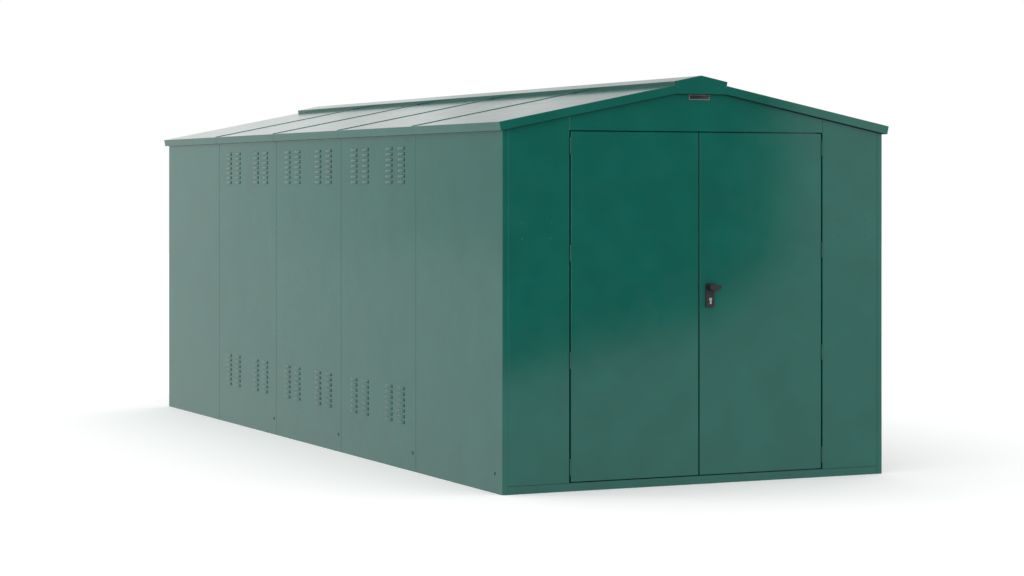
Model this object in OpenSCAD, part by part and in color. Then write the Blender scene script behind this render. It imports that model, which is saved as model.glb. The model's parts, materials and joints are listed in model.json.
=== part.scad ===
// Metal garage: a bolted building of folded steel pans with a low pitched roof
// and a pair of hinged doors at the front.
// The origin is at the middle of the plan, on the ground.
// +X points to the right wall, -Y points out through the doors, +Z points up.

/* [Building] */
// Width over the side walls
garage_w = 2215; // [1800:5:3200]
// Length over the front and rear walls
garage_l = 5500; // [4000:10:7000]
// Height of the side walls, up to the underside of the roof
wall_h = 1845; // [1700:5:2400]
// Slope of both halves of the roof, in degrees
roof_pitch = 11.31; // [5:0.01:25]

/* [Sheet metal] */
// Thickness of every folded sheet
sheet_t = 1.2; // [0.8:0.1:2]
// Depth of the flanges folded inwards round a wall pan
pan_d = 30; // [22:1:50]
// Outside radius of a fold
bend_r = 3; // [2:0.1:4]
// Length of the second fold on the corner pans
corner_lip = 25; // [10:1:60]

/* [Roof] */
// Overhang of the roof past the side walls
eave_over = 28; // [10:1:80]
// Overhang of the roof past the front and rear walls
verge_over = 23; // [10:1:80]
// Depth of the trim folded down along the eaves and verges
trim_h = 43.6; // [25:0.1:80]
// Depth of the flanges by which roof pans are bolted together
seam_h = 30; // [20:1:40]
// Room left between a roof flange and the top of a wall
notch_gap = 3; // [1:0.5:10]
// Half of the width of the ridge cap
cap_half_w = 153.5; // [80:0.5:300]
// Height of the ridge cap over the roof
cap_h = 20; // [10:1:40]

/* [Doors] */
// Width of the doorway
door_w = 1479; // [1000:1:1700]
// Height of the top of the doorway over the ground
door_top = 1803; // [1500:1:1820]
// Height of the sill under the doors
sill_h = 41.5; // [20:0.5:80]
// Gap at the hinge side of each leaf
hinge_gap = 9; // [8:0.5:14]
// Gap over and under the leaves
edge_gap = 6; // [5:0.5:12]
// Gap where the two leaves meet
meeting_gap = 7; // [6:0.5:14]
// Thickness of a leaf
door_d = 30; // [24:1:50]
// Width of the lip folded back round the inner side of a leaf
door_lip = 16; // [8:1:40]
// Height of each rail across the inner side of a leaf
rail_h = 60; // [30:1:120]
// Gap between a leaf and the stop behind it
stop_gap = 6; // [5:0.5:12]
// Width of the stop round the doorway
stop_w = 22; // [14:1:40]

/* [Hinges] */
// Height of a hinge
hinge_h = 84; // [60:1:120]
// Distance from the end of a leaf to the middle of its end hinge
hinge_inset = 72; // [60:1:200]
// Thickness of a hinge plate
hinge_t = 1.5; // [1:0.1:2]
// Depth of a hinge plate along the edge of the leaf
hinge_d = 25; // [12:1:28]
// Outside radius of a knuckle
knuckle_r = 3.8; // [3:0.1:4]
// Radius of a hinge pin
hinge_pin_r = 2; // [1.5:0.1:2.5]
// Distance of the hinge pins in front of the face of the doors
pin_proud = 1.5; // [0:0.1:4]

/* [Lock and handle] */
// Width of the lock plate
plate_w = 49; // [40:1:70]
// Height of the lock plate
plate_h = 124; // [110:1:180]
// Thickness of the lock plate
plate_t = 8; // [4:0.5:12]
// Corner radius of the lock plate
plate_r = 9; // [2:0.5:15]
// Distance of the middle of the lock plate from the middle of the doorway
plate_x = 61.5; // [45:0.5:200]
// Height of the lower edge of the lock plate over the ground
plate_z = 902; // [700:1:1200]
// Distance of the handle's axis over the lower edge of the lock plate
handle_up = 101; // [80:1:150]
// Reach of the handle from its axis
handle_reach = 51; // [40:1:120]
// Distance of the handle's front from the face of the door
handle_proud = 40; // [30:1:70]
// Thickness of the handle's arm
handle_t = 16; // [8:0.5:20]
// Distance of the handle's top and of its blunt end from its axis
hub_r = 19; // [12:0.5:24]
// Radius of the neck behind the arm
neck_r = 17; // [10:0.5:22]
// Radius of the journal that carries the handle in the plate
journal_r = 8; // [4:0.5:10]
// Distance of the top of the lock cylinder over the lower edge of the plate
cylinder_up = 50; // [40:1:70]
// Distance of the lock cylinder's face in front of the lock plate
cylinder_proud = 3; // [1:0.5:6]

/* [Name plate] */
// Width of the blank plate over the doors
badge_w = 120; // [60:1:200]
// Height of the blank plate
badge_h = 25; // [15:1:60]
// Thickness of the blank plate
badge_t = 2; // [1:0.5:5]
// Gap between the blank plate and the ridge end plate, measured down the gable
badge_drop = 4; // [2:1:60]

/* [Hidden] */
$fn = 64;

bays = 5;
hinges = 4;
rails = 2;

half_w = garage_w / 2;
half_l = garage_l / 2;
bay = garage_l / bays;
pitch_tan = tan(roof_pitch);
pitch_sin = sin(roof_pitch);
pitch_cos = cos(roof_pitch);
apex_z = roof_top(0);
slope_len = (half_w + eave_over) / pitch_cos;

// Reach of cutting shapes past the faces that they cut
over = 1;

// Front pieces are deep enough to carry the stop behind the doors
stop_y = door_d + stop_gap;
front_d = stop_y + sheet_t;
doorway_half = door_w / 2;

leaf_bottom = sill_h + edge_gap;
leaf_top = door_top - edge_gap;
leaf_h = leaf_top - leaf_bottom;
leaf_inner = meeting_gap / 2;
leaf_outer = doorway_half - hinge_gap;
pin_x = doorway_half - hinge_gap / 2;

// Clearances of the fits
pin_clear = 0.05;
knuckle_clear = 0.5;
hub_clear = 0.5;
lock_clear = 0.3;
roof_seat = 0.02;

knuckle_h = hinge_h / 3;
handle_z = plate_z + handle_up;
cylinder_r = 8.5;
cylinder_stem_r = 5;
cylinder_h = 33;
keyway_w = 2;
keyway_h = 9;
keyway_d = 4;
// Circles that the outline of the handle's arm is wrapped round: x and z from the axis, and radius
arm_circles = [
    [5 - hub_r, hub_r - 5, 5],
    [10 - hub_r, 2, 10],
    [14, -1, 17],
    [handle_reach - 12, -2, 6],
    [handle_reach - 4, 10, 4]
];
rim_w = 3;
rim_t = 0.6;

// Height of the roof's top surface, and of its underside, x away from the middle
function roof_under(x) = wall_h + (half_w - abs(x)) * pitch_tan;
function roof_top(x) = roof_under(x) + sheet_t / pitch_cos;

// Half width of the ridge end plates, inside the lips of the cap, and the height of their foot
end_half_w = cap_half_w - cap_h * pitch_sin - 2 * sheet_t;
end_foot_z = roof_top(end_half_w) - trim_h / pitch_cos;

// Height of the middle of hinge i
function hinge_z(i) = leaf_bottom + hinge_inset + i * (leaf_h - 2 * hinge_inset) / (hinges - 1);

// ---------------------------------------------------------------- placing

// A wall is drawn lying along X with its outer face on y = 0 and its depth along +Y.
// The side walls run from 0 at the front; the front and rear walls are centred.
module on_side(side) {
    if (side == "front") translate([0, -half_l, 0]) children();
    if (side == "rear") mirror([0, 1, 0]) translate([0, -half_l, 0]) children();
    if (side == "left") translate([-half_w, -half_l, 0]) mirror([1, -1, 0]) children();
    if (side == "right") mirror([1, 0, 0]) translate([-half_w, -half_l, 0]) mirror([1, -1, 0]) children();
}

// A copy on the right, mirrored about the middle of the garage
module on_right() {
    mirror([1, 0, 0]) children();
}

// ------------------------------------------------------------- wall pans

// Outline of a pan seen from above, pulled in by one sheet for its hollow
module pan_outline(a, b, d, inset) {
    r = bend_r - inset;
    depth = inset == 0 ? d : d + over;
    translate([a + inset, inset + r]) square([b - a - 2 * inset, depth - inset - r]);
    translate([a + inset + r, inset]) square([b - a - 2 * (inset + r), depth - inset]);
    translate([a + inset + r, inset + r]) circle(r);
    translate([b - inset - r, inset + r]) circle(r);
}

// The space under the roof, with room for it to be seated, lowered by one sheet for a hollow
module under_roof(inset) {
    drop = roof_seat + inset / pitch_cos;
    side_x = half_w + over;
    translate([0, half_l + over, 0]) rotate([90, 0, 0]) linear_extrude(garage_l + 2 * over)
        polygon([
            [-side_x, -over], [side_x, -over],
            [side_x, roof_under(side_x) - drop],
            [0, roof_under(0) - drop],
            [-side_x, roof_under(side_x) - drop]
        ]);
}

// A pan from a to b along its wall and from z0 to z1, with flanges folded
// inwards on all four sides; one that reaches the roof follows its slope
module pan(side, a, b, d, z0, z1) {
    difference() {
        intersection() {
            on_side(side) translate([0, 0, z0]) linear_extrude(z1 - z0) pan_outline(a, b, d, 0);
            under_roof(0);
        }
        intersection() {
            on_side(side) translate([0, 0, z0 + sheet_t]) linear_extrude(z1 - z0 - 2 * sheet_t)
                pan_outline(a, b, d, sheet_t);
            under_roof(sheet_t);
        }
    }
}

// The second fold of a corner pan, face to face with the next wall's flange
module corner_fold(side, at_front) {
    a = at_front ? sheet_t : garage_l - corner_lip;
    intersection() {
        on_side(side) translate([a, pan_d - sheet_t, 0]) cube([corner_lip - sheet_t, sheet_t, apex_z]);
        under_roof(sheet_t / 2);
    }
}

module side_panel(side, i) {
    pan(side, i * bay, (i + 1) * bay, pan_d, 0, apex_z);
    if (i == 0) corner_fold(side, true);
    if (i == bays - 1) corner_fold(side, false);
}

module left_wall_panel(i) {
    color("seagreen") side_panel("left", i);
}

module right_wall_panel(i) {
    color("seagreen") side_panel("right", i);
}

module rear_wall_left() {
    color("seagreen") pan("rear", pan_d - half_w, 0, pan_d, 0, apex_z);
}

module rear_wall_right() {
    color("seagreen") pan("rear", 0, half_w - pan_d, pan_d, 0, apex_z);
}

// ---------------------------------------------------------- front of the garage

// A flat stop behind the leaves, from x0 to x1 and from z0 to z1
module stop_strip(x0, x1, z0, z1) {
    on_side("front") translate([x0, stop_y, z0]) cube([x1 - x0, sheet_t, z1 - z0]);
}

module door_sill() {
    color("seagreen") {
        pan("front", pan_d - half_w, half_w - pan_d, front_d, 0, sill_h);
        stop_strip(stop_w - doorway_half, doorway_half - stop_w, sill_h - sheet_t, sill_h + stop_w);
    }
}

module front_post() {
    pan("front", pan_d - half_w, -doorway_half, front_d, sill_h, apex_z);
    stop_strip(-doorway_half - sheet_t, stop_w - doorway_half, sill_h, door_top);
}

module front_post_left() {
    color("seagreen") front_post();
}

module front_post_right() {
    color("seagreen") on_right() front_post();
}

module front_gable() {
    color("seagreen") {
        pan("front", -doorway_half, doorway_half, front_d, door_top, apex_z);
        stop_strip(stop_w - doorway_half, doorway_half - stop_w, door_top - stop_w, door_top + sheet_t);
    }
}

// ------------------------------------------------------------------ roof

// The left slope is drawn flat: x runs up the slope from the eave, y along the
// garage, and z = 0 is the top surface of the roof
module on_slope() {
    translate([-half_w - eave_over, 0, roof_top(half_w + eave_over)]) rotate([0, -roof_pitch, 0]) children();
}

module left_of_ridge() {
    translate([-garage_w, -garage_l, -over]) cube([garage_w, 2 * garage_l, 2 * apex_z]);
}

// Section along the slope: the fold at the eave is round
module eave_section(inset, h) {
    r = bend_r - inset;
    translate([inset + r, -h]) square([slope_len, h - inset]);
    translate([inset, -h]) square([2 * r, h - inset - r]);
    translate([inset + r, -inset - r]) circle(r);
}

// Section along the garage: the folds at both ends of the pan are round
module seam_section(y0, y1, inset, h) {
    r = bend_r - inset;
    translate([y0 + inset, -h]) square([y1 - y0 - 2 * inset, h - inset - r]);
    translate([y0 + inset + r, -h]) square([y1 - y0 - 2 * (inset + r), h - inset]);
    translate([y0 + inset + r, -inset - r]) circle(r);
    translate([y1 - inset - r, -inset - r]) circle(r);
}

module roof_block(y0, y1, inset, h) {
    intersection() {
        translate([0, y1, 0]) rotate([90, 0, 0]) linear_extrude(y1 - y0) eave_section(inset, h);
        rotate([90, 0, 90]) linear_extrude(2 * slope_len) seam_section(y0, y1, inset, h);
    }
}

// Takes away the part of a bolted seam that would meet the wall, and all of it
// below the seam's own depth
module seam_cut(y, h) {
    wall_u = (eave_over + pan_d + notch_gap) / pitch_cos;
    seam_w = 4 * sheet_t;
    translate([sheet_t, y - seam_w / 2, -h - over]) {
        cube([wall_u - sheet_t, seam_w, h + over - sheet_t]);
        cube([2 * slope_len, seam_w, h + over - seam_h]);
    }
}

// One roof pan of the left slope with its eave trim, its seams, its ridge
// flange and, at either end of the garage, its verge trim
module roof_pan(i) {
    first = i == 0;
    last = i == bays - 1;
    y0 = -half_l + i * bay - (first ? verge_over : 0);
    y1 = -half_l + (i + 1) * bay + (last ? verge_over : 0);
    flange_y0 = first ? -half_l + front_d + notch_gap : y0;
    flange_y1 = last ? half_l - pan_d - notch_gap : y1;
    difference() {
        intersection() {
            on_slope() roof_block(y0, y1, 0, trim_h);
            left_of_ridge();
        }
        on_slope() roof_block(y0, y1, sheet_t, trim_h + over);
        if (!first) on_slope() seam_cut(y0, trim_h);
        if (!last) on_slope() seam_cut(y1, trim_h);
    }
    translate([-sheet_t, flange_y0, apex_z - seam_h / pitch_cos])
        cube([sheet_t, flange_y1 - flange_y0, (seam_h - sheet_t / 2) / pitch_cos]);
}

module roof_left(i) {
    color("darkseagreen") roof_pan(i);
}

module roof_right(i) {
    color("darkseagreen") on_right() roof_pan(i);
}

// Half of the ridge cap: a sheet parallel to the roof, with a lip that stands on it
module half_cap() {
    lip_u = (half_w + eave_over - cap_half_w + cap_h * pitch_sin) / pitch_cos;
    cap_l = garage_l + 2 * (verge_over + sheet_t);
    intersection() {
        on_slope() translate([lip_u, cap_l / 2, 0]) rotate([90, 0, 0]) linear_extrude(cap_l) {
            translate([bend_r, cap_h - sheet_t]) square([slope_len, sheet_t]);
            square([sheet_t, cap_h - bend_r]);
            difference() {
                translate([0, cap_h - bend_r]) square([bend_r, bend_r]);
                translate([bend_r, cap_h - bend_r]) circle(bend_r - sheet_t);
                difference() {
                    translate([-over, cap_h - bend_r]) square([bend_r + over, bend_r + over]);
                    translate([bend_r, cap_h - bend_r]) circle(bend_r);
                }
            }
        }
        left_of_ridge();
    }
}

module ridge_cap() {
    color("darkseagreen") {
        half_cap();
        on_right() half_cap();
    }
}

// The plate that closes one end of the cap and covers the meeting of the verge trims
module ridge_end() {
    rise = (cap_h - sheet_t) / pitch_cos;
    side_z = roof_top(end_half_w) + rise;
    translate([0, -half_l - verge_over, 0]) rotate([90, 0, 0]) linear_extrude(sheet_t)
        polygon([
            [-end_half_w, end_foot_z], [end_half_w, end_foot_z],
            [end_half_w, side_z], [0, apex_z + rise], [-end_half_w, side_z]
        ]);
}

module ridge_end_front() {
    color("seagreen") ridge_end();
}

module ridge_end_rear() {
    color("seagreen") mirror([0, 1, 0]) ridge_end();
}

// ----------------------------------------------------------------- doors

// The left leaf: a pan whose flanges are folded again into a lip round its back
module leaf() {
    difference() {
        on_side("front") translate([0, 0, leaf_bottom]) linear_extrude(leaf_h)
            pan_outline(-leaf_outer, -leaf_inner, door_d, 0);
        on_side("front") translate([-leaf_outer + sheet_t, sheet_t, leaf_bottom + sheet_t])
            cube([leaf_outer - leaf_inner - 2 * sheet_t, door_d - 2 * sheet_t, leaf_h - 2 * sheet_t]);
        on_side("front") translate([-leaf_outer + door_lip, sheet_t, leaf_bottom + door_lip])
            cube([leaf_outer - leaf_inner - 2 * door_lip, door_d, leaf_h - 2 * door_lip]);
    }
}

module left_door() {
    color("green") leaf();
}

module right_door() {
    color("green") on_right() leaf();
}

// Channels across the inside of the left leaf, open towards its face
module leaf_rails() {
    rail_w = leaf_outer - leaf_inner - 2 * sheet_t;
    rail_d = door_d - 2 * sheet_t;
    pitch = leaf_h / (rails + 1);
    for (i = [1 : rails])
        on_side("front") translate([-leaf_outer + sheet_t, sheet_t, leaf_bottom + i * pitch - rail_h / 2])
            difference() {
                cube([rail_w, rail_d, rail_h]);
                translate([-over, -over, sheet_t])
                    cube([rail_w + 2 * over, rail_d + over - sheet_t, rail_h - 2 * sheet_t]);
            }
}

module left_door_rails() {
    color("green") leaf_rails();
}

module right_door_rails() {
    color("green") on_right() leaf_rails();
}

// --------------------------------------------------------------- hinges

// Puts a child at every hinge of the left leaf, with its origin on the pin
module at_hinges() {
    for (i = [0 : hinges - 1])
        on_side("front") translate([-pin_x, -pin_proud, hinge_z(i)]) children();
}

// One hinge plate, standing against the post or the leaf
module hinge_plate(x) {
    translate([x, 0, -hinge_h / 2]) cube([hinge_t, hinge_d, hinge_h]);
}

// Room for the other half's knuckle between heights z0 and z1
module knuckle_room(z0, z1) {
    room = knuckle_r + knuckle_clear;
    translate([-hinge_gap, -room, z0]) cube([2 * hinge_gap, 2 * room, z1 - z0]);
}

module frame_hinge() {
    difference() {
        union() {
            hinge_plate(-hinge_gap / 2);
            translate([0, 0, -hinge_h / 2]) cylinder(r = knuckle_r, h = hinge_h);
        }
        knuckle_room(-knuckle_h / 2 - knuckle_clear, knuckle_h / 2 + knuckle_clear);
    }
    translate([0, 0, -hinge_h / 2 + over]) cylinder(r = hinge_pin_r, h = hinge_h - 2 * over);
}

module leaf_hinge() {
    difference() {
        union() {
            hinge_plate(hinge_gap / 2 - hinge_t);
            translate([0, 0, -knuckle_h / 2]) cylinder(r = knuckle_r, h = knuckle_h);
        }
        knuckle_room(knuckle_h / 2, hinge_h);
        knuckle_room(-hinge_h, -knuckle_h / 2);
        translate([0, 0, -hinge_h]) cylinder(r = hinge_pin_r + pin_clear, h = 2 * hinge_h);
    }
}

module left_frame_hinges() {
    color("gray") at_hinges() frame_hinge();
}

module right_frame_hinges() {
    color("gray") on_right() at_hinges() frame_hinge();
}

module left_door_hinges() {
    color("gray") at_hinges() leaf_hinge();
}

module right_door_hinges() {
    color("gray") on_right() at_hinges() leaf_hinge();
}

// ------------------------------------------------------- lock and handle

// Drawn upright in X and Z on the face of the right leaf, growing outwards
module on_lock(z) {
    on_side("front") translate([plate_x, 0, z]) rotate([90, 0, 0]) children();
}

// Profile of the lock cylinder, with its top at the origin
module cylinder_profile(grow) {
    stem_h = cylinder_h - cylinder_r - cylinder_stem_r;
    translate([0, -cylinder_r]) circle(cylinder_r + grow);
    translate([-cylinder_stem_r - grow, -cylinder_r - stem_h]) square([2 * (cylinder_stem_r + grow), stem_h]);
    translate([0, -cylinder_r - stem_h]) circle(cylinder_stem_r + grow);
}

// A rectangle with round corners, centred on its lower edge
module round_plate(w, h, r) {
    translate([-w / 2, r]) square([w, h - 2 * r]);
    translate([r - w / 2, 0]) square([w - 2 * r, h]);
    for (x = [r - w / 2, w / 2 - r], z = [r, h - r]) translate([x, z]) circle(r);
}

module lock_plate() {
    color("black") difference() {
        on_lock(plate_z) linear_extrude(plate_t) round_plate(plate_w, plate_h, plate_r);
        on_lock(handle_z) translate([0, 0, -over])
            cylinder(r = journal_r + pin_clear, h = plate_t + 2 * over);
        on_lock(plate_z + cylinder_up) translate([0, 0, -over]) linear_extrude(plate_t + 2 * over)
            cylinder_profile(lock_clear);
    }
}

module lock_cylinder() {
    length = plate_t + cylinder_proud;
    keyway_z = -cylinder_r - keyway_h / 2;
    color("silver") on_lock(plate_z + cylinder_up) difference() {
        linear_extrude(length) cylinder_profile(0);
        translate([-keyway_w / 2, keyway_z, length - keyway_d])
            cube([keyway_w, keyway_h, keyway_d + over]);
    }
}

// Outline of the handle's arm: level on top, with a full belly below
module arm_outline() {
    hull()
        for (c = arm_circles) translate([c[0], c[1]]) circle(c[2]);
}

module door_handle() {
    color("black") {
        on_lock(handle_z) translate([0, 0, lock_clear]) cylinder(r = journal_r, h = plate_t + hub_clear);
        on_lock(handle_z) translate([0, 0, plate_t + hub_clear])
            cylinder(r = neck_r, h = handle_proud - plate_t - hub_clear - handle_t + over);
        on_lock(handle_z) translate([0, 0, handle_proud - handle_t]) linear_extrude(handle_t) arm_outline();
    }
}

// ------------------------------------------------------------ name plate

// A blank plate with a raised rim, on the gable under the ridge end plate
module name_plate() {
    foot_z = end_foot_z - badge_drop - badge_h;
    color("dimgray") on_side("front") translate([-badge_w / 2, -badge_t, foot_z]) difference() {
        cube([badge_w, badge_t, badge_h]);
        translate([rim_w, -over, rim_w]) cube([badge_w - 2 * rim_w, rim_t + over, badge_h - 2 * rim_w]);
    }
}

// -------------------------------------------------------------- assembly

for (i = [0 : bays - 1]) {
    left_wall_panel(i);
    right_wall_panel(i);
    roof_left(i);
    roof_right(i);
}
rear_wall_left();
rear_wall_right();
door_sill();
front_post_left();
front_post_right();
front_gable();
ridge_cap();
ridge_end_front();
ridge_end_rear();
left_door();
right_door();
left_door_rails();
right_door_rails();
left_frame_hinges();
right_frame_hinges();
left_door_hinges();
right_door_hinges();
lock_plate();
lock_cylinder();
door_handle();
name_plate();
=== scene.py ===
"""Looks of the metal garage: painted sheet steel, louvres, fasteners, lock and handle, and a plain studio.

Lengths are in metres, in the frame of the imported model: the origin is in the middle of the walls'
plan at ground level, +X is to the right wall, -Y goes out through the doors and +Z is up.
"""

import json
import math

import bmesh
import bpy
from mathutils import Matrix, Vector


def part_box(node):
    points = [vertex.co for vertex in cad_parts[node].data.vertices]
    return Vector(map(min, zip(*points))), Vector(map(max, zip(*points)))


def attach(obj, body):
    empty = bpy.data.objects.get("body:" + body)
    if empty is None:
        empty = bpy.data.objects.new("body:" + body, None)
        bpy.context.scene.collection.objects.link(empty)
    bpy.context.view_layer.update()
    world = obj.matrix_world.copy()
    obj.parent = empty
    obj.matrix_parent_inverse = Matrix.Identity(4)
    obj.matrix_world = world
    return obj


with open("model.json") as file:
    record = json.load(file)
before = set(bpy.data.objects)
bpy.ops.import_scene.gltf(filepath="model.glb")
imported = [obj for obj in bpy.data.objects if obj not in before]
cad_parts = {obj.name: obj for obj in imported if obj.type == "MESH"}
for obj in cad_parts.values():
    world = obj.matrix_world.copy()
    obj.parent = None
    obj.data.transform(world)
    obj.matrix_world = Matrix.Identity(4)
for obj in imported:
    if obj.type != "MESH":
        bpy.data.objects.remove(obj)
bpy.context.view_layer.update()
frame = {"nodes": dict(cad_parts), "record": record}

# -------------------------------------------------------------------- sizes

SIDES = (("left", -1), ("right", 1))
BAYS = 5
LOUVRED_BAYS = (2, 3, 4)

LOUVRE_LENGTH = 0.100
LOUVRE_HEIGHT = 0.0175
LOUVRE_DEPTH = 0.0062
LOUVRE_SHEET = 0.0008
# How squarely a hood ends along its length, and how soon it swells out from its top edge
LOUVRE_END_POWER = 5
LOUVRE_SWELL_POWER = 0.8
LOUVRE_ROWS = 7
LOUVRE_PITCH = 0.0302
# Heights of the middle of the lower and the upper set
LOUVRE_SET_MIDDLES = (0.343, 1.637)
# Columns of louvres from the middle of a pan, in steps of one column
LOUVRE_COLUMN_PITCH = 0.174
LOUVRE_COLUMNS = (-2, -1, 1, 2)

SLOT_FROM_LOUVRE_END = 0.006
SLOT_ABOVE_LIP = 0.0005
SLOT_HEIGHT = 0.006
# The plate in a slot stands this far out of the sheet's face, and reaches as far into it
SLOT_LIFT = 0.0003

# The share of a round head's rise that is its straight edge
HEAD_EDGE_SHARE = 0.3

FOOT_BOLT_Z = 0.098
FOOT_BOLT_AFTER_CORNER = 0.093
FOOT_BOLT_AFTER_JOINT = 0.045
FOOT_BOLT_JOINTS = (1, 2, 3)
FOOT_BOLT_RADIUS = 0.0085
FOOT_BOLT_RISE = 0.005

POST_RIVETS_FROM_CORNER = (0.107, 0.268)
POST_RIVET_HEIGHTS = (1.2625, 1.343)
POST_RIVET_RADIUS = 0.0045
POST_RIVET_RISE = 0.002

ROOF_SLOPE = 0.2
TRIM_DEPTH = 0.0436
SEAM_WIDTH = 0.007
SEAM_RISE = 0.003
SEAM_FROM_EAVE = 0.004
TRIM_SEAM_WIDTH = SEAM_WIDTH * 0.6
TRIM_SEAM_RISE = 0.0012
TRIM_SEAM_FROM_TOP = 0.008
# From the middle of the roof to the foot of the ridge cap
CAP_FOOT = 0.1490

DOORWAY_HALF = 0.7395
CORNER_FLANGE = 0.030
# Thin dark ribs of painted shade along the sill joints, for the shade in the gaps
SILL_JOINT_SHADE_WIDTH = 0.0022
SILL_JOINT_SHADE_RISE = 0.0003

PLATE_RIM = 0.003
PLATE_INLAY_RISE = 0.0008
PLATE_INLAY_BEVEL = PLATE_INLAY_RISE * 0.3

# A strip of painted shade under the verge trim, for the shaded gap between the trim and the end wall
VERGE_SHADE_STRIP_DEPTH = 0.016
VERGE_SHADE_STRIP_SHOWS = 0.0035
VERGE_SHADE_STRIP_HEIGHT = 0.014

CAP_SCREW_FROM_SIDE = 0.008
CAP_SCREW_UP = 0.034
CAP_SCREW_RADIUS = 0.005
CAP_SCREW_RISE = 0.003

# ------------------------------------------------------------------ colours

GREEN = (0.006, 0.113, 0.087)
TRIM_GREEN = (0.007, 0.112, 0.086)
BLACK = (0.018, 0.017, 0.017)
HINGE_GREEN = (0.05, 0.16, 0.13)
LOCK_STEEL = (0.88, 0.87, 0.86)
PLATE_GREY = (0.42, 0.43, 0.43)
PLATE_DARK = (0.02, 0.022, 0.024)
# Painted shade: the dark seen through the open cut behind each louvre hood
SLOT_PAINTED_SHADE = (0.002, 0.006, 0.005)
# Painted shade: the black of the strips under the verge trim and along the sill joints, which stand for
# shaded gaps
PAINTED_SHADE_STRIP_BLACK = (0.004, 0.007, 0.006)

# -------------------------------------------------- camera and surroundings

CAMERA_PLACE = (-6.2809, -13.9531, 1.5278)
CAMERA_HEADING = 25.0055
CAMERA_LENS = 88.07
CAMERA_SHIFT = -0.1003

# What gloss mirrors at the rear darkens between these two ratios of aside to straight back
REAR_EDGE = (0.32, 0.47)
LEAST_BACK = 0.001
STREAK_SCALE = 34.0
# It brightens by this gain between these rises of the mirrored ray, which only the roof's reach
HORIZON_EDGE = (0.05, 0.15)
ABOVE_HORIZON_GAIN = 0.09

# The dark card stands in front of the doors, out to the right; its foot slopes up to the right
DARK_CARD_Y = -9.0
DARK_CARD_OUTLINE = ((0.8, 0.0), (1.8, 0.05), (2.6, 0.25), (3.7, 0.47), (4.3, 1.0), (4.4, 6.0), (0.8, 6.0))

FLOOR_SIZE = 80.0
# The floor's tone in the light that it throws on the object
FLOOR_GREY = 0.92

# The part of its range that a noise texture mostly keeps to
NOISE_SPREAD = (0.3, 0.7)

# ---------------------------------------------------------------- materials


def add_map_range(tree, source, given, wanted):
    """Maps one span of values onto another, and holds them to it."""
    node = tree.nodes.new("ShaderNodeMapRange")
    node.inputs["From Min"].default_value, node.inputs["From Max"].default_value = given
    node.inputs["To Min"].default_value, node.inputs["To Max"].default_value = wanted
    tree.links.new(source, node.inputs["Value"])
    return node.outputs["Result"]


class Nodes:
    """A short way to add and join the nodes of one material."""

    def __init__(self, name):
        self.material = bpy.data.materials.new(name)
        self.material.use_nodes = True
        self.tree = self.material.node_tree
        self.shader = self.tree.nodes["Principled BSDF"]
        self.place = self.add("ShaderNodeTexCoord").outputs["Object"]

    def add(self, kind, **settings):
        node = self.tree.nodes.new(kind)
        for key, value in settings.items():
            setattr(node, key, value)
        return node

    def link(self, source, target):
        self.tree.links.new(source, target)

    def noise(self, scale, detail=2.0, stretch=(1, 1, 1)):
        mapping = self.add("ShaderNodeMapping")
        mapping.inputs["Scale"].default_value = stretch
        self.link(self.place, mapping.inputs["Vector"])
        node = self.add("ShaderNodeTexNoise")
        node.inputs["Scale"].default_value = scale
        node.inputs["Detail"].default_value = detail
        self.link(mapping.outputs["Vector"], node.inputs["Vector"])
        return node.outputs["Fac"]

    def span(self, source, low, high):
        return add_map_range(self.tree, source, NOISE_SPREAD, (low, high))

    def blend_colours(self, factor, first, second):
        node = self.add("ShaderNodeMix", data_type="RGBA")
        self.link(factor, node.inputs["Factor"])
        for socket, colour in (("A", first), ("B", second)):
            target = [s for s in node.inputs if s.name == socket and s.type == "RGBA"][0]
            target.default_value = (*colour, 1.0)
        return [s for s in node.outputs if s.type == "RGBA"][0]

    def bump(self, height, distance, previous=None):
        node = self.add("ShaderNodeBump")
        node.inputs["Strength"].default_value = 1.0
        node.inputs["Distance"].default_value = distance
        self.link(height, node.inputs["Height"])
        if previous is not None:
            self.link(previous, node.inputs["Normal"])
        return node.outputs["Normal"]

    def set(self, **values):
        for name, value in values.items():
            socket = self.shader.inputs[name.replace("_", " ")]
            if hasattr(value, "is_linked"):
                self.link(value, socket)
            else:
                socket.default_value = value


def scaled(colour, k):
    return tuple(c * k for c in colour)


def paint(name, colour, waves=0.0013, stretch=(1, 1, 1)):
    """Sprayed gloss paint on thin sheet: orange peel, faint mottling and the sheet's own slow waves."""
    n = Nodes(name)
    mottle = n.span(n.noise(scale=5.0, detail=3.0), low=0.0, high=1.0)
    tone = n.blend_colours(mottle, scaled(colour, 0.93), scaled(colour, 1.07))
    gloss = n.span(n.noise(scale=14.0, detail=4.0), low=0.10, high=0.15)
    sheet = n.bump(n.noise(scale=1.6, detail=1.5, stretch=stretch), distance=waves)
    peel = n.bump(n.noise(scale=190.0, detail=1.0), distance=0.00006, previous=sheet)
    n.set(Base_Color=tone, Roughness=gloss, Normal=peel, Metallic=0.0, IOR=1.5)
    return n.material


def metal(name, colour, roughness, brushed=(1, 1, 1)):
    """Bare or plated steel with fine brushing and small changes of tone."""
    n = Nodes(name)
    grain = n.noise(scale=900.0, stretch=brushed)
    mottle = n.span(n.noise(scale=40.0), low=0.0, high=1.0)
    tone = n.blend_colours(mottle, scaled(colour, 0.85), scaled(colour, 1.1))
    n.set(Base_Color=tone, Roughness=n.span(grain, low=roughness - 0.08, high=roughness + 0.1))
    n.set(Normal=n.bump(grain, distance=0.00003), Metallic=1.0)
    return n.material


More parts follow.
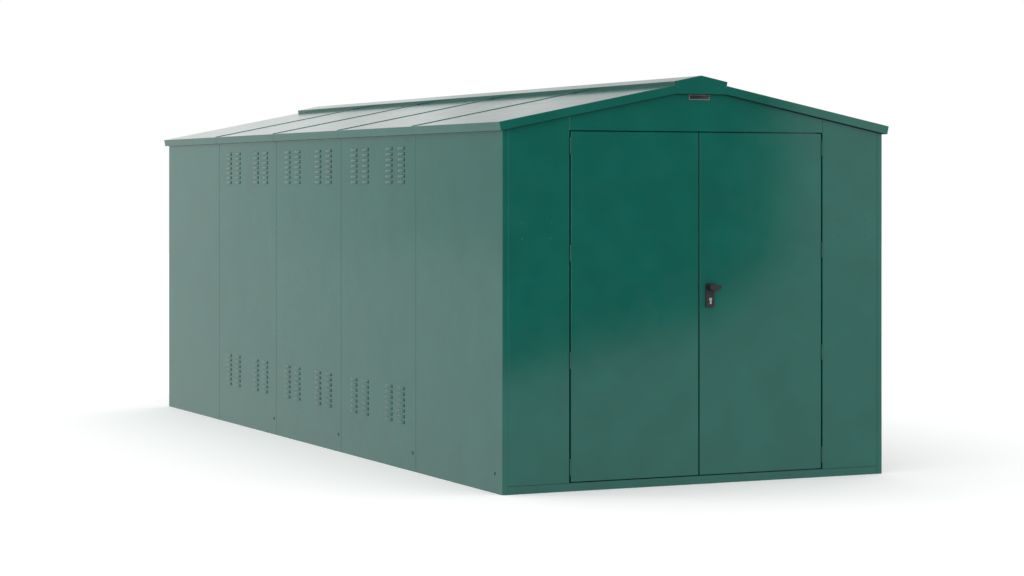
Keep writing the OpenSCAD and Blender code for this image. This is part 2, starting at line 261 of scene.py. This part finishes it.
def coated(name, colour, roughness):
    """Textured powder coat on a casting; the same matt dark recipe also makes the painted shade of the
    slot plates and the dark strips.
    """
    n = Nodes(name)
    mottle = n.span(n.noise(scale=60.0), low=0.0, high=1.0)
    tone = n.blend_colours(mottle, scaled(colour, 0.85), scaled(colour, 1.25))
    gloss = n.span(n.noise(scale=90.0), low=roughness - 0.06, high=roughness + 0.06)
    grain = n.noise(scale=1400.0)
    n.set(Base_Color=tone, Roughness=gloss, Normal=n.bump(grain, distance=0.00004))
    return n.material


def make_materials():
    return {
        "wall_paint": paint("wall_paint", GREEN, stretch=(1, 1, 0.45)),
        "door_paint": paint("door_paint", GREEN, stretch=(1, 1, 0.6)),
        "trim_paint": paint("trim_paint", TRIM_GREEN, waves=0.0006),
        "roof_paint": paint("roof_paint", TRIM_GREEN, waves=0.0010),
        "hinge_steel": metal("hinge_steel", HINGE_GREEN, roughness=0.35),
        "black_metal": coated("black_metal", BLACK, roughness=0.38),
        "lock_steel": metal("lock_steel", LOCK_STEEL, roughness=0.22, brushed=(1, 1, 8)),
        "plate_finish": metal("plate_finish", PLATE_GREY, roughness=0.4, brushed=(8, 1, 1)),
        # Painted shade for the slot plates behind the hoods
        "slot_painted_shade": coated("slot_painted_shade", SLOT_PAINTED_SHADE, roughness=0.8),
        # Painted shade for the strips under the verge trim and along the sill joints
        "painted_shade_strip": coated("painted_shade_strip", PAINTED_SHADE_STRIP_BLACK, roughness=0.7),
        "plate_inlay": coated("plate_inlay", PLATE_DARK, roughness=0.3),
    }


def dress_nodes(materials):
    """Gives every CAD node the material of its slot."""
    for part in frame["record"]["subparts"]:
        node = frame["nodes"][part["node"]]
        node.data.materials.clear()
        node.data.materials.append(materials[part["material_slot"]])


# ------------------------------------------------------------------- meshes


def new_object(name, mesh_data, materials):
    piece = bpy.data.objects.new(name, mesh_data)
    bpy.context.scene.collection.objects.link(piece)
    for material in materials:
        mesh_data.materials.append(material)
    return piece


def mesh_from(bm, name):
    mesh = bpy.data.meshes.new(name)
    bm.to_mesh(mesh)
    bm.free()
    return mesh


def finish_mesh(bm, name, materials, body, smooth=True):
    """Turns a bmesh into a piece that rides on a body."""
    bmesh.ops.recalc_face_normals(bm, faces=bm.faces)
    mesh = mesh_from(bm, name)
    for polygon in mesh.polygons:
        polygon.use_smooth = smooth
    piece = new_object(name, mesh, materials)
    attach(piece, body)


def add_louvre(bm, place, along_steps=10, down_steps=6):
    """One pressed hood: closed at the top and ends, open along its lower edge.

    It is drawn with its length along x, its depth along +z and its top towards +y.
    """
    outer, inner = [], []
    for shrink, grid in ((0.0, outer), (LOUVRE_SHEET, inner)):
        for i in range(along_steps + 1):
            u = 2 * i / along_steps - 1
            end = (1 - abs(u) ** LOUVRE_END_POWER) ** 0.5
            row = []
            for j in range(down_steps + 1):
                v = j / down_steps
                swell = math.sin(v * math.pi / 2) ** LOUVRE_SWELL_POWER
                depth = max(LOUVRE_DEPTH * swell * end - shrink, 0.0)
                x = u * (LOUVRE_LENGTH / 2 - shrink)
                y = LOUVRE_HEIGHT * (0.5 - v) - shrink * (1 - v)
                row.append(bm.verts.new(place @ Vector((x, y, depth))))
            grid.append(row)
    for grid in (outer, inner):
        for i in range(along_steps):
            for j in range(down_steps):
                bm.faces.new((grid[i][j], grid[i + 1][j], grid[i + 1][j + 1], grid[i][j + 1]))
    for i in range(along_steps):
        for j in (0, down_steps):
            bm.faces.new((outer[i][j], outer[i + 1][j], inner[i + 1][j], inner[i][j]))
    for j in range(down_steps):
        for i in (0, along_steps):
            bm.faces.new((outer[i][j], outer[i][j + 1], inner[i][j + 1], inner[i][j]))


def add_slot_plate(bm, place):
    """A thin dark plate of painted shade that stands for the shaded open cut in the sheet behind one hood.
    """
    half = LOUVRE_LENGTH / 2 - SLOT_FROM_LOUVRE_END
    low = -LOUVRE_HEIGHT / 2 + SLOT_ABOVE_LIP
    high = low + SLOT_HEIGHT
    corners = [(-half, low), (half, low), (half, high), (-half, high)]
    front = [bm.verts.new(place @ Vector((x, y, SLOT_LIFT))) for x, y in corners]
    back = [bm.verts.new(place @ Vector((x, y, -SLOT_LIFT))) for x, y in corners]
    faces = [bm.faces.new(front), bm.faces.new(back[::-1])]
    for i in range(4):
        faces.append(bm.faces.new((front[i], front[i - 1], back[i - 1], back[i])))
    for face in faces:
        face.material_index = 1


def add_dome(bm, place, radius, rise, rings=4, sides=20):
    """A round head: a low dome over a short straight edge."""
    levels = []
    for k in range(rings + 1):
        a = k / rings * math.pi / 2
        height = HEAD_EDGE_SHARE + (1 - HEAD_EDGE_SHARE) * math.sin(a)
        levels.append((radius * math.cos(a), rise * height))
    levels = [(radius, 0.0)] + levels[:-1]
    loops = []
    for r, h in levels:
        loops.append([
            bm.verts.new(place @ Vector((r * math.cos(t), r * math.sin(t), h)))
            for t in (2 * math.pi * s / sides for s in range(sides))
        ])
    tip = bm.verts.new(place @ Vector((0, 0, rise)))
    for lower, upper in zip(loops, loops[1:]):
        for s in range(sides):
            bm.faces.new((lower[s], lower[(s + 1) % sides], upper[(s + 1) % sides], upper[s]))
    for s in range(sides):
        bm.faces.new((loops[-1][s], loops[-1][(s + 1) % sides], tip))
    bm.faces.new(loops[0][::-1])


# ------------------------------------------------------------------ placing


def upright_place(spot, out):
    """A frame at a spot on an upright face: x runs along the face, y up and z out of it."""
    up = Vector((0, 0, 1))
    turn = Matrix((up.cross(out), up, out)).transposed().to_4x4()
    return Matrix.Translation(spot) @ turn


def wall_place(side, y, z):
    low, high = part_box(f"{side}_wall_panel_1")
    if side == "left":
        return upright_place((low.x, y, z), Vector((-1, 0, 0)))
    return upright_place((high.x, y, z), Vector((1, 0, 0)))


def front_place(x, y, z):
    return upright_place((x, y, z), Vector((0, -1, 0)))


def make_louvres(materials):
    for side, _ in SIDES:
        for bay in LOUVRED_BAYS:
            low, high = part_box(f"{side}_wall_panel_{bay}")
            middle = (low.y + high.y) / 2
            bm = bmesh.new()
            for set_z in LOUVRE_SET_MIDDLES:
                for column in LOUVRE_COLUMNS:
                    for row in range(LOUVRE_ROWS):
                        z = set_z + (row - (LOUVRE_ROWS - 1) / 2) * LOUVRE_PITCH
                        place = wall_place(side, middle + column * LOUVRE_COLUMN_PITCH, z)
                        add_louvre(bm, place)
                        add_slot_plate(bm, place)
            # The slot plates carry the painted shade of the open cut
            used = [materials["wall_paint"], materials["slot_painted_shade"]]
            finish_mesh(bm, f"{side}_louvres_{bay}", used, "shell")


def make_foot_bolts(materials):
    for side, _ in SIDES:
        front_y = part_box(f"{side}_wall_panel_1")[0].y
        places = [front_y + FOOT_BOLT_AFTER_CORNER]
        for joint in FOOT_BOLT_JOINTS:
            places.append(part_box(f"{side}_wall_panel_{joint}")[1].y + FOOT_BOLT_AFTER_JOINT)
        bm = bmesh.new()
        for y in places:
            add_dome(bm, wall_place(side, y, FOOT_BOLT_Z), FOOT_BOLT_RADIUS, FOOT_BOLT_RISE)
        finish_mesh(bm, f"{side}_foot_bolts", [materials["wall_paint"]], "shell")


def make_post_rivets(materials):
    face_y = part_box("front_post_left")[0].y
    wall_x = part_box("right_wall_panel_1")[1].x
    for side, sign in SIDES:
        bm = bmesh.new()
        for inset in POST_RIVETS_FROM_CORNER:
            for z in POST_RIVET_HEIGHTS:
                place = front_place(sign * (wall_x - inset), face_y, z)
                add_dome(bm, place, POST_RIVET_RADIUS, POST_RIVET_RISE)
        finish_mesh(bm, f"{side}_post_rivets", [materials["wall_paint"]], "shell")


def make_cap_screws(materials):
    low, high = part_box("ridge_end_front")
    bm = bmesh.new()
    for x in (low.x + CAP_SCREW_FROM_SIDE, high.x - CAP_SCREW_FROM_SIDE):
        add_dome(bm, front_place(x, low.y, low.z + CAP_SCREW_UP), CAP_SCREW_RADIUS, CAP_SCREW_RISE)
    finish_mesh(bm, "ridge_end_front_screws", [materials["trim_paint"]], "shell")


def add_rib(bm, ends, out, side, width, rise, arch_steps=6):
    """A half-round rib between two ends, as wide as width towards side and as tall as rise towards out."""
    rings = []
    for end in ends:
        ring = []
        for k in range(arch_steps + 1):
            a = math.pi * k / arch_steps
            ring.append(bm.verts.new(end + side * (width / 2 * math.cos(a)) + out * (rise * math.sin(a))))
        rings.append(ring)
    first, second = rings
    for k in range(arch_steps + 1):
        j = (k + 1) % (arch_steps + 1)
        bm.faces.new((first[k], first[j], second[j], second[k]))
    bm.faces.new(first)
    bm.faces.new(second[::-1])


def make_roof_seams(materials):
    """The rolled joints between roof pans, up the slope and down the eave trim."""
    lean = math.atan(ROOF_SLOPE)
    along_y = Vector((0, 1, 0))
    for side, sign in SIDES:
        up = Vector((sign * math.sin(lean), 0, math.cos(lean)))
        out = Vector((sign * math.cos(lean), 0, -math.sin(lean)))
        bm = bmesh.new()
        for bay in range(1, BAYS):
            low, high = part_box(f"roof_{side}_{bay}")
            eave_x = low.x if side == "left" else high.x
            eave_z = high.z - abs(eave_x) * ROOF_SLOPE
            eave = Vector((eave_x, high.y, eave_z))
            foot = Vector((sign * CAP_FOOT, high.y, high.z - CAP_FOOT * ROOF_SLOPE))
            add_rib(bm, [eave - out * SEAM_FROM_EAVE, foot], up, along_y, SEAM_WIDTH, SEAM_RISE)
            top, bottom = eave - up * TRIM_SEAM_FROM_TOP, eave - up * TRIM_DEPTH
            add_rib(bm, [top, bottom], out, along_y, TRIM_SEAM_WIDTH, TRIM_SEAM_RISE)
        finish_mesh(bm, f"roof_seams_{side}", [materials["roof_paint"]], "shell")


def make_sill_joints(materials):
    """Thin dark ribs of painted shade along the joints between the sill and the pans beside the doors."""
    post_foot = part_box("front_post_left")[0]
    corner_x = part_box("right_wall_panel_1")[1].x - CORNER_FLANGE
    out, up = Vector((0, -1, 0)), Vector((0, 0, 1))
    bm = bmesh.new()
    for sign in (-1, 1):
        ends = [Vector((sign * x, post_foot.y, post_foot.z)) for x in (corner_x, DOORWAY_HALF)]
        add_rib(bm, ends, out, up, SILL_JOINT_SHADE_WIDTH, SILL_JOINT_SHADE_RISE)
    finish_mesh(bm, "sill_joints", [materials["painted_shade_strip"]], "shell")


def make_plate_inlay(materials):
    """The dark enamelled face inside the rim of the blank name plate."""
    low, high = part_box("name_plate")
    middle = (low + high) / 2
    size = Vector((high.x - low.x - 2 * PLATE_RIM, PLATE_INLAY_RISE, high.z - low.z - 2 * PLATE_RIM))
    bm = bmesh.new()
    bmesh.ops.create_cube(bm, size=1.0)
    bmesh.ops.scale(bm, vec=size, verts=bm.verts)
    bmesh.ops.translate(bm, vec=(middle.x, low.y + PLATE_INLAY_RISE, middle.z), verts=bm.verts)
    edges = bm.edges[:]
    bmesh.ops.bevel(bm, geom=edges, offset=PLATE_INLAY_BEVEL, segments=2, affect="EDGES", profile=0.5)
    finish_mesh(bm, "name_plate_inlay", [materials["plate_inlay"]], "shell")


def make_verge_shade_strips(materials):
    """A black strip of painted shade between the end walls and the verge trim, standing for the shaded gap
    there; a thin line of it shows.
    """
    corner_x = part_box("right_wall_panel_1")[1].x
    for node, wall, face, outward in (
        ("ridge_end_front", "front_gable", 0, -1),
        ("ridge_end_rear", "rear_wall_left", 1, 1),
    ):
        low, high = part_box(node)
        wall_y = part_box(wall)[face].y
        drop = (corner_x - high.x) * ROOF_SLOPE
        line = [(-corner_x, low.z - drop), (low.x, low.z), (high.x, low.z), (corner_x, low.z - drop)]
        bm = bmesh.new()
        rings = []
        for x, z in line:
            z_low, z_high = z - VERGE_SHADE_STRIP_SHOWS, z - VERGE_SHADE_STRIP_SHOWS + VERGE_SHADE_STRIP_HEIGHT
            y_in, y_out = wall_y, wall_y + outward * VERGE_SHADE_STRIP_DEPTH
            corners = ((y_in, z_low), (y_out, z_low), (y_out, z_high), (y_in, z_high))
            rings.append([bm.verts.new((x, y, cz)) for y, cz in corners])
        for first, second in zip(rings, rings[1:]):
            for k in range(4):
                bm.faces.new((first[k], first[(k + 1) % 4], second[(k + 1) % 4], second[k]))
        bm.faces.new(rings[0])
        bm.faces.new(rings[-1][::-1])
        finish_mesh(bm, node + "_painted_shade_strip", [materials["painted_shade_strip"]], "shell", smooth=False)


# ------------------------------------------------------------------- studio


class Wires:
    """A short way to add and join maths nodes in a tree."""

    def __init__(self, tree):
        self.tree = tree
        self.path = self.add("ShaderNodeLightPath")

    def add(self, kind):
        return self.tree.nodes.new(kind)

    def link(self, source, target):
        self.tree.links.new(source, target)

    def maths(self, operation, *values):
        node = self.add("ShaderNodeMath")
        node.operation = operation
        for k, value in enumerate(values):
            if hasattr(value, "is_linked"):
                self.link(value, node.inputs[k])
            else:
                node.inputs[k].default_value = value
        return node.outputs["Value"]

    def span(self, value, given, wanted):
        return add_map_range(self.tree, value, given, wanted)

    def choose(self, factor, low, high):
        """low where the factor is 0 and high where it is 1."""
        low_share = self.maths("MULTIPLY", self.maths("SUBTRACT", 1.0, factor), low)
        return self.maths("ADD", low_share, self.maths("MULTIPLY", factor, high))


def make_world(light_strength, rear_strength, side_strength, streak):
    """White to the camera and as light; what gloss mirrors at the rear falls off to both sides."""
    world = bpy.data.worlds.new("studio")
    bpy.context.scene.world = world
    world.use_nodes = True
    w = Wires(world.node_tree)
    background = world.node_tree.nodes["Background"]
    background.inputs["Color"].default_value = (1, 1, 1, 1)
    parts = w.add("ShaderNodeSeparateXYZ")
    w.link(w.add("ShaderNodeTexCoord").outputs["Generated"], parts.inputs["Vector"])
    behind = w.maths("MAXIMUM", parts.outputs["Y"], LEAST_BACK)
    aside = w.maths("DIVIDE", w.maths("ABSOLUTE", parts.outputs["X"]), behind)
    bands = w.add("ShaderNodeTexNoise")
    bands.noise_dimensions = "1D"
    bands.inputs["Scale"].default_value = STREAK_SCALE
    bands.inputs["Detail"].default_value = 1.0
    w.link(aside, bands.inputs["W"])
    falling_off = w.span(aside, REAR_EDGE, (rear_strength, side_strength))
    streaked = w.maths("ADD", falling_off, w.span(bands.outputs["Fac"], NOISE_SPREAD, (-streak, streak)))
    above_horizon = w.span(parts.outputs["Z"], HORIZON_EDGE, (0.0, ABOVE_HORIZON_GAIN))
    rear = w.maths("ADD", streaked, above_horizon)
    is_rear = w.maths("GREATER_THAN", parts.outputs["Y"], 0.0)
    mirrored = w.choose(is_rear, 1.0, rear)
    lit = w.choose(w.path.outputs["Is Glossy Ray"], light_strength, mirrored)
    w.link(w.choose(w.path.outputs["Is Camera Ray"], lit, 1.0), background.inputs["Strength"])


def make_floor(glow_strength, mirrored_strength):
    """A pale floor that the camera sees as white, with the garage's own shadow left on it."""
    bm = bmesh.new()
    bmesh.ops.create_grid(bm, x_segments=1, y_segments=1, size=FLOOR_SIZE / 2)
    mesh = mesh_from(bm, "floor")
    material = bpy.data.materials.new("floor")
    material.use_nodes = True
    w = Wires(material.node_tree)
    w.tree.nodes.remove(w.tree.nodes["Principled BSDF"])

    def diffuse(grey):
        node = w.add("ShaderNodeBsdfDiffuse")
        node.inputs["Color"].default_value = (grey, grey, grey, 1)
        return node.outputs[0]

    def emission(strength):
        node = w.add("ShaderNodeEmission")
        node.inputs["Strength"].default_value = strength
        return node.outputs[0]

    def mix(factor, first, second):
        node = w.add("ShaderNodeMixShader")
        w.link(factor, node.inputs["Fac"])
        w.link(first, node.inputs[1])
        w.link(second, node.inputs[2])
        return node.outputs[0]

    seen = w.add("ShaderNodeAddShader")
    w.link(diffuse(1.0), seen.inputs[0])
    w.link(emission(glow_strength), seen.inputs[1])
    unseen = mix(w.path.outputs["Is Glossy Ray"], diffuse(FLOOR_GREY), emission(mirrored_strength))
    surface = mix(w.path.outputs["Is Camera Ray"], unseen, seen.outputs[0])
    w.link(surface, w.tree.nodes["Material Output"].inputs["Surface"])
    new_object("floor", mesh, [material])


def make_lamp(name, place, target, size, power):
    """A round lamp that lights the object and isn't mirrored in it."""
    data = bpy.data.lights.new(name, "AREA")
    data.shape = "DISK"
    data.size = size
    data.energy = power
    lamp = bpy.data.objects.new(name, data)
    bpy.context.scene.collection.objects.link(lamp)
    lamp.location = place
    lamp.rotation_euler = (Vector(target) - lamp.location).to_track_quat("-Z", "Y").to_euler()
    lamp.visible_glossy = False


def make_dark_card():
    """A dark upright card out of the camera's sight, that only shows as a reflection in gloss paint."""
    bm = bmesh.new()
    bm.faces.new([bm.verts.new((x, DARK_CARD_Y, z)) for x, z in DARK_CARD_OUTLINE])
    mesh = mesh_from(bm, "dark_card")
    material = bpy.data.materials.new("dark_card")
    material.use_nodes = True
    shader = material.node_tree.nodes["Principled BSDF"]
    shader.inputs["Base Color"].default_value = (0.0, 0.0, 0.0, 1)
    shader.inputs["Specular IOR Level"].default_value = 0.0
    card = new_object("dark_card", mesh, [material])
    card.visible_camera = False
    card.visible_diffuse = False
    card.visible_shadow = False
    card.visible_transmission = False


def make_camera():
    """A level camera to the left of the doors, shifted down so that uprights stay upright."""
    data = bpy.data.cameras.new("camera")
    data.sensor_width = 36.0
    data.lens = CAMERA_LENS
    data.shift_y = CAMERA_SHIFT
    data.clip_end = 200.0
    camera = bpy.data.objects.new("camera", data)
    bpy.context.scene.collection.objects.link(camera)
    camera.location = CAMERA_PLACE
    camera.rotation_euler = (math.radians(90), 0, -math.radians(CAMERA_HEADING))
    bpy.context.scene.camera = camera


def make_studio():
    scene = bpy.context.scene
    scene.view_settings.view_transform = "Standard"
    make_world(light_strength=1.0, rear_strength=0.89, side_strength=0.57, streak=0.07)
    make_floor(glow_strength=0.11, mirrored_strength=0.84)
    make_lamp("side_lamp", place=(-7.0, 1.0, 7.0), target=(0.0, 0.0, 1.0), size=3.0, power=90.0)
    make_dark_card()


# -------------------------------------------------------------------- build


make_camera()
materials = make_materials()
dress_nodes(materials)
make_louvres(materials)
make_foot_bolts(materials)
make_post_rivets(materials)
make_cap_screws(materials)
make_roof_seams(materials)
make_sill_joints(materials)
make_plate_inlay(materials)
make_verge_shade_strips(materials)
make_studio()
